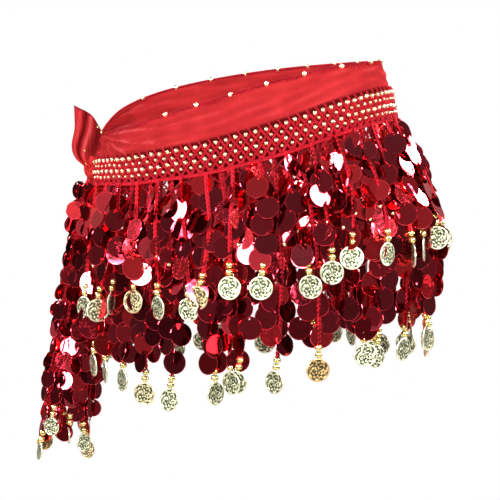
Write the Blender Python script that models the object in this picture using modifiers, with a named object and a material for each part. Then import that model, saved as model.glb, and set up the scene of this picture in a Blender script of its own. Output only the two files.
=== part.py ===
"""Hip scarf for belly dance, tied at the wearer's right hip, as it hangs on a general figure.

Metres, +Z up. The wearer faces -Y, so the left hip is at +X. The origin is the centre of the ring
that the scarf makes round the hips, where the wearer holds it up. Angles are in degrees round that
ring, 0 at the left hip and 270 at the front. A drop is the height below the bead band's top edge.
"""

import math

import bmesh
import bpy
from mathutils import Vector

MM = 0.001

# Ring round the hips, at the lower edge of the bead band
RING_X = 165 * MM
RING_Y = 115 * MM
LEAN_ANGLE = 26.0
KNOT_ANGLE = 214.0
FIRST_ANGLE = 219.0
LAST_ANGLE = 569.0
SEGMENTS = 73

# Figure's form: drop, how far the ring spreads, how far it leans to the left hip and the back
SPREAD, LEAN = 1, 2
FORM = (
    (-44 * MM, -17.5 * MM, -5 * MM),
    (0 * MM, -5.5 * MM, -2 * MM),
    (34 * MM, 0 * MM, 0 * MM),
    (75 * MM, 13 * MM, 8 * MM),
    (120 * MM, 24 * MM, 14 * MM),
    (180 * MM, 24 * MM, 14 * MM),
    (280 * MM, 19 * MM, 11 * MM),
)

# Course of the bead band's top edge: angle, rise, height of the yoke above it, height of the band
RISE, YOKE_HEIGHT, BAND_HEIGHT = 1, 2, 3
COURSE = (
    (206, -38 * MM, 14 * MM, 26 * MM),
    (220, -36 * MM, 15 * MM, 27 * MM),
    (232, -33 * MM, 19 * MM, 28 * MM),
    (250, -28 * MM, 26 * MM, 30 * MM),
    (268, -19 * MM, 30 * MM, 32 * MM),
    (281, -12 * MM, 33 * MM, 33 * MM),
    (296, -1 * MM, 34 * MM, 34 * MM),
    (313, 12 * MM, 33 * MM, 34 * MM),
    (330, 26 * MM, 28 * MM, 34 * MM),
    (345, 34 * MM, 24 * MM, 33 * MM),
    (365, 39 * MM, 22 * MM, 33 * MM),
    (386, 37 * MM, 23 * MM, 33 * MM),
    (420, 30 * MM, 26 * MM, 33 * MM),
    (460, 18 * MM, 28 * MM, 33 * MM),
    (500, 0 * MM, 28 * MM, 33 * MM),
    (535, -20 * MM, 26 * MM, 31 * MM),
    (556, -32 * MM, 19 * MM, 28 * MM),
    (572, -38 * MM, 14 * MM, 26 * MM),
)

# Cloth and seams
CLOTH_WALL = 1.5 * MM
SEAM_GAP = 0.3 * MM
YOKE_ROWS = 5
FOLD_SLOPE = 0.09
FOLD_REACH = 75.0
FOLD_WAVES = 1.5
FOLD_FADE = 1.5
EDGING_RADIUS = 1.2 * MM
EDGING_LIFT = 1.0 * MM

# Bead band
BAND_OUT = 1.9 * MM
BAND_WALL = 2.0 * MM
BEAD_RELIEF = 1.4 * MM
BEAD_ROWS = 4
BAND_MARGIN = 0.13

# Fringe: strips below the band, then cords with sequins and a coin at each end
STRIP_HEIGHT = 3.0 * MM
STRIP_WALL = 2.6 * MM
STRIP_UNDERSIDE = 2
LOWER_STRIP_OUT = -1.0 * MM
UPPER_STRIP_OUT = 2.0 * MM
UPPER_STRAND_OUT = 4.4 * MM
LOWER_STRAND_OUT = -1.0 * MM
CORD_HALF_WIDTH = 2.0 * MM
STRAND_WALL = 2.4 * MM
STRAND_BACK_SHARE = 0.6
SEQUIN_HALF_WIDTH = 10.5 * MM
SEQUIN_PITCH = 23 * MM
COIN_RADIUS = 11 * MM
UPPER_LENGTH = 128 * MM
UPPER_CORD = 7 * MM
LOWER_CORD = 96 * MM
FIRST_UPPER = 1
FIRST_LOWER = 2
LENGTH_SWING = 6 * MM
LENGTH_PHASE = 2.4

# Outlines: for a sequin, share of its pitch below its top and share of its width,
# for a coin, how many coin radii above the tip and share of its radius
SEQUIN_OUTLINE = ((0.5, 1.0), (0.92, 0.4))
COIN_OUTLINE = ((2.1, 0.2), (1.1, 1.0), (0.3, 0.8), (0.0, 0.3))
COIN_ROOM = 2.4

# Length of the lower fringe round the ring: angle, length
LENGTH = 1
LOWER_LENGTH = (
    (206, 180 * MM),
    (225, 184 * MM),
    (245, 208 * MM),
    (270, 222 * MM),
    (300, 222 * MM),
    (340, 226 * MM),
    (386, 234 * MM),
    (460, 232 * MM),
    (530, 212 * MM),
    (572, 182 * MM),
)

# Knot
KNOT_DROP = 10 * MM
KNOT_OUT = 5 * MM
KNOT_SIZE = (8 * MM, 10.9 * MM, 13 * MM)
KNOT_CREASE = 0.13
KNOT_WAVES = 1.5

# Raised tie end, seen flat: rows from the knot to the hem, with how far each edge
# lies in from the knot and how high it is
RAISED_EDGES = (
    (-5 * MM, 13.5 * MM, 4 * MM, 13.5 * MM),
    (-14 * MM, 18 * MM, 8 * MM, 20 * MM),
    (-17 * MM, 27 * MM, 11 * MM, 25 * MM),
    (-15.5 * MM, 41 * MM, 13 * MM, 30 * MM),
    (-16.5 * MM, 59 * MM, 13.5 * MM, 34 * MM),
)
RAISED_COLUMNS = 10
RAISED_BOW = 8 * MM
RAISED_FOLD_ROOT = 1.3 * MM
RAISED_FOLD_DEPTH = 3.2 * MM
RAISED_FOLDS = 2.5

# Hanging tie end: distance below the knot's centre, how far out it swings
SWING = 1
HANG_PATH = (
    (13 * MM, 1 * MM),
    (60 * MM, 4 * MM),
    (110 * MM, 8 * MM),
    (150 * MM, 12 * MM),
    (200 * MM, 20 * MM),
    (250 * MM, 27 * MM),
    (310 * MM, 32 * MM),
)
HANG_TOP = 13.5 * MM
HANG_BOTTOM = 165 * MM
HANG_STEPS = 8
HANG_RADIUS = 6.5 * MM
HANG_TIP_RADIUS = 3.5 * MM
HANG_FOLDS = 5
HANG_FOLD_SHARE = 0.12
TASSEL_TOP = 17 * MM
TASSEL_STRANDS = 8
TASSEL_LENGTH = 278 * MM
TASSEL_LENGTH_STEP = 8 * MM
TASSEL_ORDER = 3
TASSEL_SPREAD_OUT = 13 * MM
TASSEL_SPREAD_ALONG = 4 * MM
TASSEL_SPREAD_DROP = 130 * MM
TASSEL_SEQUIN_HALF_WIDTH = 6 * MM
TASSEL_COIN_RADIUS = 8 * MM

# Colours as linear RGB
CRIMSON = (0.72, 0.045, 0.06)
YARN_RED = (0.50, 0.012, 0.03)
WINE_RED = (0.26, 0.010, 0.022)
GOLD = (0.70, 0.47, 0.20)


def clear_scene():
    for obj in list(bpy.data.objects):
        bpy.data.objects.remove(obj, do_unlink=True)


def between(rows, value, column):
    """A smooth curve through one column of a table whose first column rises."""
    value = min(max(value, rows[0][0]), rows[-1][0])
    last = len(rows) - 1
    index = 0
    while index < last - 1 and rows[index + 1][0] < value:
        index += 1
    before, start, end, after = (rows[min(max(index + step, 0), last)] for step in (-1, 0, 1, 2))
    span = end[0] - start[0]
    share = (value - start[0]) / span
    leave = (end[column] - before[column]) / (end[0] - before[0]) * span
    arrive = (after[column] - start[column]) / (after[0] - start[0]) * span
    change = end[column] - start[column]
    cubic = leave + arrive - 2 * change
    square = 3 * change - 2 * leave - arrive
    return start[column] + share * (leave + share * (square + share * cubic))


def outward(angle):
    turn = math.radians(angle)
    return Vector((math.cos(turn) / RING_X, math.sin(turn) / RING_Y, 0)).normalized()


def along(angle):
    """Level direction round the ring, towards larger angles."""
    return Vector((0, 0, 1)).cross(outward(angle))


def ring_point(angle, drop, out):
    """A point of the worn surface, moved out from it level with the ground."""
    turn = math.radians(angle)
    lean = math.radians(LEAN_ANGLE)
    place = Vector((RING_X * math.cos(turn), RING_Y * math.sin(turn), between(COURSE, angle, RISE) - drop))
    place += Vector((math.cos(lean), math.sin(lean), 0)) * between(FORM, drop, LEAN)
    return place + outward(angle) * (out + between(FORM, drop, SPREAD))


def ring_angle(index):
    return FIRST_ANGLE + (LAST_ANGLE - FIRST_ANGLE) * index / SEGMENTS


def yoke_fold(angle, share):
    """How far the yoke's folds stand out: they run out of the knot and die away round the hips."""
    away = min(angle - FIRST_ANGLE, LAST_ANGLE - angle) / FOLD_REACH
    depth = FOLD_SLOPE * between(COURSE, angle, YOKE_HEIGHT) * max(0.0, 1.0 - away) ** FOLD_FADE
    return depth * math.sin(math.tau * FOLD_WAVES * share)


def material(name, colour, roughness, metallic):
    made = bpy.data.materials.new(name)
    made.use_nodes = True
    shader = made.node_tree.nodes["Principled BSDF"]
    shader.inputs["Base Color"].default_value = (*colour, 1.0)
    shader.inputs["Roughness"].default_value = roughness
    shader.inputs["Metallic"].default_value = metallic
    made.diffuse_color = (*colour, 1.0)
    return made


def place_object(name, data, finish, collection):
    data.materials.append(finish)
    obj = bpy.data.objects.new(name, data)
    collection.objects.link(obj)
    return obj


def mesh_object(name, shape, finish, collection):
    """The object of a finished bmesh, shaded smooth."""
    shape.normal_update()
    bmesh.ops.recalc_face_normals(shape, faces=shape.faces)
    mesh = bpy.data.meshes.new(name)
    shape.to_mesh(mesh)
    shape.free()
    mesh.shade_smooth()
    return place_object(name, mesh, finish, collection)


def sheet_object(name, rows, offset, finish, collection):
    """Cloth laid through rows of points and given its wall on one side or both."""
    shape = bmesh.new()
    grid = [[shape.verts.new(point) for point in row] for row in rows]
    for upper, lower in zip(grid, grid[1:]):
        for column in range(len(upper) - 1):
            shape.faces.new((upper[column], upper[column + 1], lower[column + 1], lower[column]))
    mesh = bpy.data.meshes.new(name)
    shape.to_mesh(mesh)
    shape.free()
    mesh.shade_smooth()
    obj = place_object(name, mesh, finish, collection)
    wall = obj.modifiers.new("wall", "SOLIDIFY")
    wall.thickness = CLOTH_WALL
    wall.offset = offset
    return obj


def loft(shape, sections, closed):
    """Faces between sections of equal point counts. Returns the faces that each pair made."""
    rings = [[shape.verts.new(point) for point in section] for section in sections]
    count = len(rings[0])
    made = []
    for one, two in zip(rings, rings[1:] + rings[:1] if closed else rings[1:]):
        sides = [(i, (i + 1) % count) for i in range(count)]
        made.append([shape.faces.new((one[i], one[j], two[j], two[i])) for i, j in sides])
    if not closed:
        shape.faces.new(rings[0])
        shape.faces.new(rings[-1])
    return made


def add_yoke(finish, collection):
    """Strip of thin cloth round the hips, gathered at both ends, its lower part under the band."""
    columns = []
    for index in range(SEGMENTS + 1):
        angle = ring_angle(index)
        height = between(COURSE, angle, YOKE_HEIGHT)
        column = []
        for row in range(YOKE_ROWS + 1):
            share = row / YOKE_ROWS
            column.append(ring_point(angle, -height * (1 - share), yoke_fold(angle, share)))
        column.append(ring_point(angle, between(COURSE, angle, BAND_HEIGHT), 0))
        columns.append(column)
    rows = list(zip(*columns))
    sheet_object("yoke_cloth", rows, -1, finish, collection)


def add_edging(finish, collection):
    """Narrow crocheted cord on the yoke's top edge."""
    curve = bpy.data.curves.new("yoke_edging", "CURVE")
    curve.dimensions = "3D"
    curve.bevel_depth = EDGING_RADIUS
    curve.bevel_resolution = 0
    curve.use_fill_caps = True
    spline = curve.splines.new("POLY")
    spline.points.add(SEGMENTS)
    for index, point in enumerate(spline.points):
        angle = ring_angle(index)
        drop = -between(COURSE, angle, YOKE_HEIGHT) - EDGING_LIFT - EDGING_RADIUS
        point.co = (*ring_point(angle, drop, CLOTH_WALL / 2), 1)
    place_object("yoke_edging", curve, finish, collection)


def band_section(angle):
    """Flat back and a face with one rib for each row of beads."""
    height = between(COURSE, angle, BAND_HEIGHT)
    front = BAND_OUT + BAND_WALL
    pitch = (1 - 2 * BAND_MARGIN) / (BEAD_ROWS - 1)
    section = [ring_point(angle, 0, BAND_OUT), ring_point(angle, 0, front)]
    for row in range(BEAD_ROWS):
        share = BAND_MARGIN + pitch * row
        section.append(ring_point(angle, height * share, front + BEAD_RELIEF))
        if row < BEAD_ROWS - 1:
            section.append(ring_point(angle, height * (share + pitch / 2), front))
    section.append(ring_point(angle, height, front))
    section.append(ring_point(angle, height, BAND_OUT))
    return section


def add_band(finish, collection):
    shape = bmesh.new()
    loft(shape, [band_section(ring_angle(index)) for index in range(SEGMENTS + 1)], False)
    mesh_object("bead_band", shape, finish, collection)


def strand_profile(length, cord, sequin, coin):
    """Stations down a strand: distance from its root, half its width."""
    stations = [(at, CORD_HALF_WIDTH) for at in sorted({UPPER_CORD, cord})]
    room = length - COIN_ROOM * coin - cord
    for number in range(int(room / SEQUIN_PITCH)):
        for below, width in SEQUIN_OUTLINE:
            stations.append((cord + (number + below) * SEQUIN_PITCH, width * sequin))
    stations += [(length - above * coin, width * coin) for above, width in COIN_OUTLINE]
    return stations


def draw_strand(shape, face, stations, line_at, sideways):
    """Draws one face of a strip down into a strand. line_at gives its back and front at a distance."""
    for distance, half_width in stations:
        back, front = line_at(distance)
        wide = sideways * half_width
        narrow = wide * STRAND_BACK_SHARE
        face = bmesh.ops.extrude_discrete_faces(shape, faces=[face])["faces"][0]
        for vert, corner in zip(face.verts, (front - wide, back - narrow, back + narrow, front + wide)):
            vert.co = corner


def strip_section(angle, inner):
    top = between(COURSE, angle, BAND_HEIGHT) + SEAM_GAP
    low = top + STRIP_HEIGHT
    outer = inner + STRIP_WALL
    corners = ((top, inner), (top, outer), (low, outer), (low, inner))
    return [ring_point(angle, drop, out) for drop, out in corners]


def ring_fringe(name, strip_out, strand_out, cord, first, length_at, finish, collection):
    """A strip under the band's lower edge and the strands that hang from every second part of it."""
    shape = bmesh.new()
    sections = [strip_section(ring_angle(index), strip_out) for index in range(SEGMENTS + 1)]
    parts = loft(shape, sections, False)
    for index in range(first, SEGMENTS - 1, 2):
        angle = (ring_angle(index) + ring_angle(index + 1)) / 2
        root = between(COURSE, angle, BAND_HEIGHT) + SEAM_GAP + STRIP_HEIGHT

        def line_at(distance):
            drop = root + distance
            return ring_point(angle, drop, strand_out), ring_point(angle, drop, strand_out + STRAND_WALL)

        stations = strand_profile(length_at(angle, index), cord, SEQUIN_HALF_WIDTH, COIN_RADIUS)
        draw_strand(shape, parts[index][STRIP_UNDERSIDE], stations, line_at, along(angle))
    mesh_object(name, shape, finish, collection)


def swing(index):
    """Uneven lengths, the same on each run."""
    return LENGTH_SWING * math.sin(LENGTH_PHASE * index)


def upper_length(angle, index):
    return UPPER_LENGTH + swing(index)


def lower_length(angle, index):
    return between(LOWER_LENGTH, angle, LENGTH) + swing(index + 1)


def knot_centre():
    return ring_point(KNOT_ANGLE, KNOT_DROP, KNOT_OUT)


def knot_place(out, sideways, up):
    """A point given by its distances from the knot's centre."""
    centre = knot_centre()
    return centre + outward(KNOT_ANGLE) * out + along(KNOT_ANGLE) * sideways + Vector((0, 0, up))


def add_knot(finish, collection):
    """Round knot with slanting creases."""
    shape = bmesh.new()
    bmesh.ops.create_uvsphere(shape, u_segments=16, v_segments=10, radius=1)
    for vert in shape.verts:
        slant = vert.co.y + vert.co.z
        crease = 1 - KNOT_CREASE * (0.5 + 0.5 * math.cos(math.tau * KNOT_WAVES * slant))
        reach = [crease * part * size for part, size in zip(vert.co, KNOT_SIZE)]
        vert.co = knot_place(*reach)
    mesh_object("knot", shape, finish, collection)


def add_raised_end(finish, collection):
    """Tie end that stands up out of the knot as a fan of soft folds."""
    rows = []
    for number, (left_in, left_up, right_in, right_up) in enumerate(RAISED_EDGES):
        rise = number / (len(RAISED_EDGES) - 1)
        row = []
        for column in range(RAISED_COLUMNS + 1):
            share = column / RAISED_COLUMNS
            bow = RAISED_BOW * rise * math.sin(math.pi * share)
            depth = RAISED_FOLD_ROOT + (RAISED_FOLD_DEPTH - RAISED_FOLD_ROOT) * rise
            fold = depth * math.cos(math.tau * RAISED_FOLDS * share)
            inward = left_in + (right_in - left_in) * share
            up = left_up + (right_up - left_up) * share + bow
            row.append(knot_place(-inward, fold, up))
        rows.append(row)
    sheet_object("tie_end_raised", rows, 0, finish, collection)


def hang_place(below, out, sideways):
    """A point of the hanging end, beside its middle line."""
    return knot_place(between(HANG_PATH, below, SWING) + out, sideways, -below)


def add_hanging_end(finish, collection):
    """Tie end that hangs from the knot, its cloth gathered into lengthwise folds."""
    sides = 2 * HANG_FOLDS
    sections = []
    for step in range(HANG_STEPS + 1):
        share = step / HANG_STEPS
        below = HANG_TOP + (HANG_BOTTOM - HANG_TOP) * share
        radius = HANG_RADIUS + (HANG_TIP_RADIUS - HANG_RADIUS) * share
        section = []
        for side in range(sides):
            turn = math.tau * side / sides
            reach = radius * (1 + HANG_FOLD_SHARE * (-1) ** side)
            section.append(hang_place(below, reach * math.cos(turn), reach * math.sin(turn)))
        sections.append(section)
    shape = bmesh.new()
    loft(shape, sections, False)
    mesh_object("tie_end_hanging", shape, finish, collection)


def tassel_place(turn, below, reach):
    """A point round the hanging end: the strands part from a small collar into a flat bundle."""
    share = min(1.0, (below - TASSEL_TOP) / TASSEL_SPREAD_DROP)
    out = reach + share * TASSEL_SPREAD_OUT
    sideways = reach + share * TASSEL_SPREAD_ALONG
    return hang_place(below, out * math.cos(turn), sideways * math.sin(turn))


def add_tassel(finish, collection):
    """Collar round the hanging end and its strands of sequins."""
    inner = HANG_RADIUS * (1 + HANG_FOLD_SHARE) + SEAM_GAP
    outer = inner + STRIP_WALL
    low = TASSEL_TOP + STRIP_HEIGHT
    corners = ((TASSEL_TOP, inner), (TASSEL_TOP, outer), (low, outer), (low, inner))
    segments = 2 * TASSEL_STRANDS
    sections = []
    for index in range(segments):
        turn = math.tau * index / segments
        out, sideways = math.cos(turn), math.sin(turn)
        sections.append([hang_place(below, reach * out, reach * sideways) for below, reach in corners])
    shape = bmesh.new()
    parts = loft(shape, sections, True)
    for strand in range(TASSEL_STRANDS):
        turn = math.tau * (2 * strand + 0.5) / segments
        sideways = outward(KNOT_ANGLE) * -math.sin(turn) + along(KNOT_ANGLE) * math.cos(turn)

        def line_at(distance):
            return tassel_place(turn, low + distance, inner), tassel_place(turn, low + distance, outer)

        length = TASSEL_LENGTH - TASSEL_LENGTH_STEP * (TASSEL_ORDER * strand % TASSEL_STRANDS)
        stations = strand_profile(length, UPPER_CORD, TASSEL_SEQUIN_HALF_WIDTH, TASSEL_COIN_RADIUS)
        draw_strand(shape, parts[2 * strand][STRIP_UNDERSIDE], stations, line_at, sideways)
    mesh_object("fringe_tail", shape, finish, collection)


def main():
    clear_scene()
    scarf = bpy.data.collections.new("hip_scarf")
    bpy.context.scene.collection.children.link(scarf)
    crepe = material("red_crepe", CRIMSON, 0.75, 0.0)
    yarn = material("red_yarn", YARN_RED, 0.8, 0.0)
    beads = material("gold_beads_on_red_yarn", GOLD, 0.35, 0.7)
    sequins = material("wine_red_sequins", WINE_RED, 0.18, 0.6)
    add_yoke(crepe, scarf)
    add_edging(yarn, scarf)
    add_band(beads, scarf)
    lower = (LOWER_STRIP_OUT, LOWER_STRAND_OUT, LOWER_CORD, FIRST_LOWER, lower_length)
    upper = (UPPER_STRIP_OUT, UPPER_STRAND_OUT, UPPER_CORD, FIRST_UPPER, upper_length)
    ring_fringe("fringe_lower", *lower, sequins, scarf)
    ring_fringe("fringe_upper", *upper, sequins, scarf)
    add_knot(crepe, scarf)
    add_raised_end(crepe, scarf)
    add_hanging_end(crepe, scarf)
    add_tassel(sequins, scarf)


main()
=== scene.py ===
"""Hip scarf with bead band, two tiers of sequin fringe and a side knot.

Lengths are millimetres in this script and metres in the meshes, lights and camera. Angles are
degrees round the hips, 0 at the left hip and 270 at the front. A drop is the height below the bead
band's top edge.
"""

import math

import bpy
import numpy as np
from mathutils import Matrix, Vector


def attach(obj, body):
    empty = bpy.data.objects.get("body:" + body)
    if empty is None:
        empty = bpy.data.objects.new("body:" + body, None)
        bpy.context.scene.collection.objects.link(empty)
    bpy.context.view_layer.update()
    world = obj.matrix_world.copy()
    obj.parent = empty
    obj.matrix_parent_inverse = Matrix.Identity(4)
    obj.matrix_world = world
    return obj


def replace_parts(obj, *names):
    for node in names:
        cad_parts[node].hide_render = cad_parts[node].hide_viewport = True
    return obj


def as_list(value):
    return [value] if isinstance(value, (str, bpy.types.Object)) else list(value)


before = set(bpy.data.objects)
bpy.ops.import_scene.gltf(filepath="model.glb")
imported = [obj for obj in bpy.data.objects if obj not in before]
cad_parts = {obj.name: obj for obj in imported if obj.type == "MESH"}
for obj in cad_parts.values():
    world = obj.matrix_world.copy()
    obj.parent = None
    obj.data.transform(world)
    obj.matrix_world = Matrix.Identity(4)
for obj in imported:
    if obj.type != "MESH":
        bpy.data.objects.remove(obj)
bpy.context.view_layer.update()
rng = np.random.default_rng(8)

MM = 0.001
UP = np.array((0.0, 0.0, 1.0))

# Ring round the hips
RING_X = 165.0
RING_Y = 115.0
LEAN_ANGLE = 26.0
KNOT_ANGLE = 214.0
FIRST_ANGLE = 219.0
LAST_ANGLE = 569.0
SEGMENTS = 73

# Form of the hips: drop, spread, lean
SPREAD, LEAN = 1, 2
FORM = (
    (-44, -17.5, -5), (0, -5.5, -2), (34, 0, 0), (75, 13, 8), (120, 24, 14), (180, 24, 14),
    (280, 19, 11),
)

# Course of the band's top edge: angle, rise, height of the yoke above it, height of the band
RISE, YOKE_HEIGHT, BAND_HEIGHT = 1, 2, 3
COURSE = (
    (206, -38, 19, 26), (220, -36, 20, 27), (232, -33, 21, 28), (250, -28, 26, 30),
    (268, -19, 30, 32), (281, -12, 33, 33), (296, -1, 34, 34), (313, 12, 33, 34),
    (330, 26, 28, 34), (345, 34, 24, 33), (365, 39, 22, 33), (386, 37, 23, 33), (420, 30, 26, 33),
    (460, 18, 28, 33), (500, 0, 28, 33), (535, -20, 26, 31), (556, -32, 19, 28),
    (572, -38, 14, 26),
)

# Yoke cloth
CLOTH_MIDDLE = 0.75
CLOTH_THICKNESS = 0.8
YOKE_COLUMNS = 480
YOKE_TOP_ROWS = 19
YOKE_BAND_ROWS = 13
FREE_SHARE = 1.15
FOLD_SLOPE = 0.09
FOLD_REACH = 75.0
FOLD_WAVES = 1.5
FOLD_FADE = 1.5
MEAN_RADIUS = 140.0

# Pleats that fan out from a point above and beside the cloth's corner at the knot
FAN_FOLDS = 11.0
FAN_DEPTH = 1.7
FAN_ABOVE = 3.0
FAN_BESIDE = 1.5
FAN_START = 7.0
FAN_FADE = 0.8
FAN_PHASE = 0.3
FAN_WANDER = 0.12
PLEAT_POWER = 0.8
PLEAT_MIDDLE = 0.4

# Creases: seed, count, ranges of their lengths down and along the cloth
CREASES = (3, 7, (8, 17), (60, 160))
FINE_CREASES = (4, 7, (3.6, 7.0), (22, 60))
BILLOWS = (5, 5, (60, 160), (38, 85))
CREASE_DEPTH = 0.75
FINE_DEPTH = 0.25
BILLOW_DEPTH = 0.7

# Tint of the yoke, painted shade towards 1 and a painted highlight below 0: a little painted shade all
# over, more near the knot, painted highlights along the ridges of its pleats and painted light and shade
# along the creases
YOKE_BASE_SHADE = 0.09
FAN_SHADE = 0.2
PLEAT_LIGHT = 1.1
LIGHT_POWER = 2.5
CREASE_LIGHT = 0.11

# Drop at which the painted shadow on the cloth under the band starts, and the same again until it is full
BAND_SHADOW_DROP = 1.2

# Edging
EDGING_LIFT = 0.9
EDGING_STEP = 1.2
STITCH_SPACING = 4.6
STITCH_MARGIN = 0.5
STITCH_SLANT = 0.35
STITCH_DROP = 1.1
STITCH_REACH = 1.9
STITCH_OUT = 1.15
STITCH_BEND = 1.35
STITCH_RADIUS = 0.42
EDGE_BEAD_RADIUS = 2.5
EDGE_BEAD_SPACING = 37.2
EDGE_BEAD_START = 265.0
EDGE_BEAD_END = 524.0
EDGE_BEAD_LIFT = 0.6
EDGE_BEAD_OUT = 1.2

# Bead band, with every other row of beads sunk, smaller and darker
BAND_COLUMNS = 94
BAND_START = 0.25
BEAD_ROWS = 4
BAND_MARGIN = 0.185
BAND_PITCH = 0.197
BEAD_RADIUS = 2.35
BEAD_OUT = 4.2
BEAD_DROP = 0.4
BEAD_WOBBLE = 0.3
BEAD_TINTS = (0.3, 0.7)
SUNK_DEPTH = 0.9
SUNK_SMALLER = 0.45
SUNK_DARKER = 0.45
NET_OUT = 2.9
FIRST_LINK_SLANT = 1.1
FIRST_LINK_DROP = 1.2
FOOT_OVERLAP = 0.4
FOOT_STEP = 1.5

# Bead and coin, in shares of their radius apart from heights and the eyelet
BEAD_HOLE = 0.3
BEAD_HALF_LENGTH = 0.8
COIN_THICKNESS = 0.9
FACE_RINGS = (0.0, 0.14, 0.26, 0.38, 0.5, 0.62, 0.74, 0.84, 0.9, 0.96, 1.0)
BACK_RINGS = (0.0, 0.45, 0.84, 0.9, 0.96, 1.0)
FIELD_REACH = 0.84
BOSS_REACH = 0.26
RIM_INSIDE, RIM_OUTSIDE = 0.88, 0.98
SCROLLS = 6
SCROLL_TWIST = 5
SCROLL_HEIGHT = 0.10
BOSS_HEIGHT = 0.25
RIM_HEIGHT = 0.3
EYELET_RADIUS = 1.7
EYELET_WIRE = 0.5
EYELET_LIFT = 0.8
EYELET_SIDES = 12
WIRE_SIDES = 6

# Fringe
STRAND_ROOT = 1.5
UPPER_OUT = 5.4
LOWER_OUT = 0.2
FILL_OUT = -1.5
UPPER_LENGTH = 128.0
LENGTH_SWING = 6.0
LENGTH_PHASE = 2.4
LENGTH = 1
LOWER_LENGTH = (
    (206, 180), (225, 184), (245, 208), (270, 222), (300, 222), (340, 226), (386, 234), (460, 232),
    (530, 212), (572, 182),
)
LOWER_SHORTER = 5.0
FILL_SHORTER = 26.0
COIN_BELOW = 1.8
UPPER_FIRST_DISCS = (5, 5, 12, 20, 32, 58)
LOWER_FIRST_DISCS = (6, 12)
FIRST_SPREAD = 5
FILL_FIRST = (-1, 6)
TAIL_FIRST = (-3, 4)
DISC_MARGIN = 45.0
FILL_MARGIN = 16.0
SWAY = (-2.0, 5.5)
WOBBLE = 3.6
WOBBLE_MOST = 8.0
FILL_SWAY = 3.2
FILL_WOBBLE = 2.0
SWING_LENGTH = 120.0
SWING_RATE = 3.4
PHASE_MOST = 6.0

# Sequins, coins and the cords that they hang on
DISC_RADIUS = 11.5
DISC_THICKNESS = 0.5
DISC_BEVEL = 0.3
HOLE_RADIUS = 1.1
HOLE_MARGIN = 2.4
DISC_PITCH = 17.0
PITCH_SPREAD = 1.3
DISC_PROUD = 2.1
YAW_PROUD = 0.38
DISC_ASIDE = 4.2
LAYER_ASIDE = 0.8
COIN_RADIUS = 11.5
COIN_OUT = 3.0
STRAND_BEAD_RADIUS = 3.6
PAIR_ABOVE = (3.6, 10.0)
PAIR_OUT = (2.1, 0.9)
CORD_START = -2.0
CORD_STEP = 2.2
CORD_ABOVE_COIN = 10.5
SLOPE_STEP = 8.0
CORD_LIGHT = (0.7, 1.2)
PAIR_TINTS = (0.8, 1.1)
TINT_POWER = 1.6

# Turns of sequins and coins in degrees: middle and spread, or range
DISC_YAW = (3, 16)
WILD_DISC_YAW = (30, 68)
DISC_LEAN = (4, 6)
LEAN_RANGE = (1, 20)
DISC_ROLL = (0, 12)
COIN_YAW = (0, 18)
WILD_COIN_YAW = (50, 85)
COIN_LEAN = (2, 4)
COIN_ROLL = (0, 6)

# Loop of yarn that ties a sequin to its cord
TIE_ABOVE, TIE_ABOVE_OUT = 3.5, 1.2
TIE_BELOW, TIE_BELOW_OUT = 0.5, 0.8
TIE_BOW = 0.5
CREST_OUT, CREST_UP = 0.9, 0.6
INSIDE_DEPTH, INSIDE_DOWN = 0.5, 0.2
TIE_RADIUS = 0.55

# Crocheted mesh behind the upper tier
MESH_LEVELS = (14, 31, 48, 65, 82)
MESH_DIP = 9.0
MESH_STEPS = 13
MESH_OUT = 0.6
MESH_BEAD_OUT = 4.7
MESH_BEAD_RADIUS = 1.9

# Knot, in distances from its centre
KNOT_DROP = 10.0
KNOT_OUT = 5.0
KNOT_SIZE = (8.0, 10.9, 13.0)
KNOT_ROWS, KNOT_COLUMNS = 40, 64
KNOT_LOBES = 1.5
KNOT_GROOVE = 0.2
KNOT_CRINKLE = 0.02

# Turn of cloth over the knot
TURN_STEPS, TURN_RIBS = 72, 25
TURN_OUT = 6.9
TURN_LONG = 11.6
TURN_HALF_WIDTH = 5.2
TURN_NARROWING = 0.25
TURN_SLOPE = 24.0
TURN_PLEATS = 1.5
TURN_PLEAT_DEPTH = 0.45
TURN_CROWN = 1.2

# Raised tie end: rows from the knot to the hem, in and up at the left and right edges, forward
FORWARD = 5
RAISED_EDGES = (
    (0, -5.5, -1.5, 2, 3, 9.5),
    (1, -17.5, 9, 7, 12, 8.5),
    (2, -20.5, 21, 11, 22, 3),
    (3, -17.5, 38, 12, 29, 0.5),
    (4, -17.5, 61, 10, 34, 0),
)
RAISED_TOP = 4.0
RAISED_ROWS, RAISED_COLUMNS = 46, 100
RAISED_WIDTH, RAISED_STEP = 70.0, 12.0
RAISED_BOW = 6.5
RAISED_FOLD_ROOT = 0.5
FOLD_FULL_RISE = 1.5
FOLD_WANDER = 0.1
FOLD_STRAIGHT_RISE = 1.9
CRINKLE_DEPTH = 0.35
CRINKLE_WAVES = 7.3
CRINKLE_SLANT = 0.4
CRINKLE_ROOT = 0.4
# Painted shade over the raised end, deeper in its fold valleys and turned to a painted highlight on the
# fold crests
RAISED_SHADE = 0.32
FOLD_LIGHT = 0.19
HEM_STEPS = 140
HEM_RADIUS = 0.8

# Depth of the raised end's folds at hundredths of its width
FOLD_DEPTH = 1
RAISED_FOLDS = (
    (0, 0), (10, 2.2), (25, -3), (40, 3), (60, -1.5), (82, -3.4), (100, 0.5),
)

# Small beads sewn on the raised end: rise, hundredths of its width, radius
RAISED_BEADS = (
    (1.5, 42, 1.1), (0.3, 20, 1.3), (3.7, 84, 1.5), (3.8, 97, 1.5),
)

# Hanging tie end: distance below the knot's centre, swing out
SWING = 1
HANG_PATH = (
    (0, 0), (13, 1), (60, 4), (110, 8), (150, 12), (200, 20), (250, 27), (310, 32),
)
HANG_ROWS, HANG_COLUMNS = 60, 90
HANG_WEAVE = 6.0
HANG_TOP = 4.0
HANG_NECK = 28.0
NECK_SHARE = 0.35
HANG_BOTTOM = 165.0
HANG_RADIUS = 6.5
HANG_TIP_RADIUS = 3.5

# Gathers of the hanging end: count, depth in radii, twist
HANG_MEAN = 0.92
HANG_GATHERS = ((5, 0.14, 1.2), (11, 0.05, 3))

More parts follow.
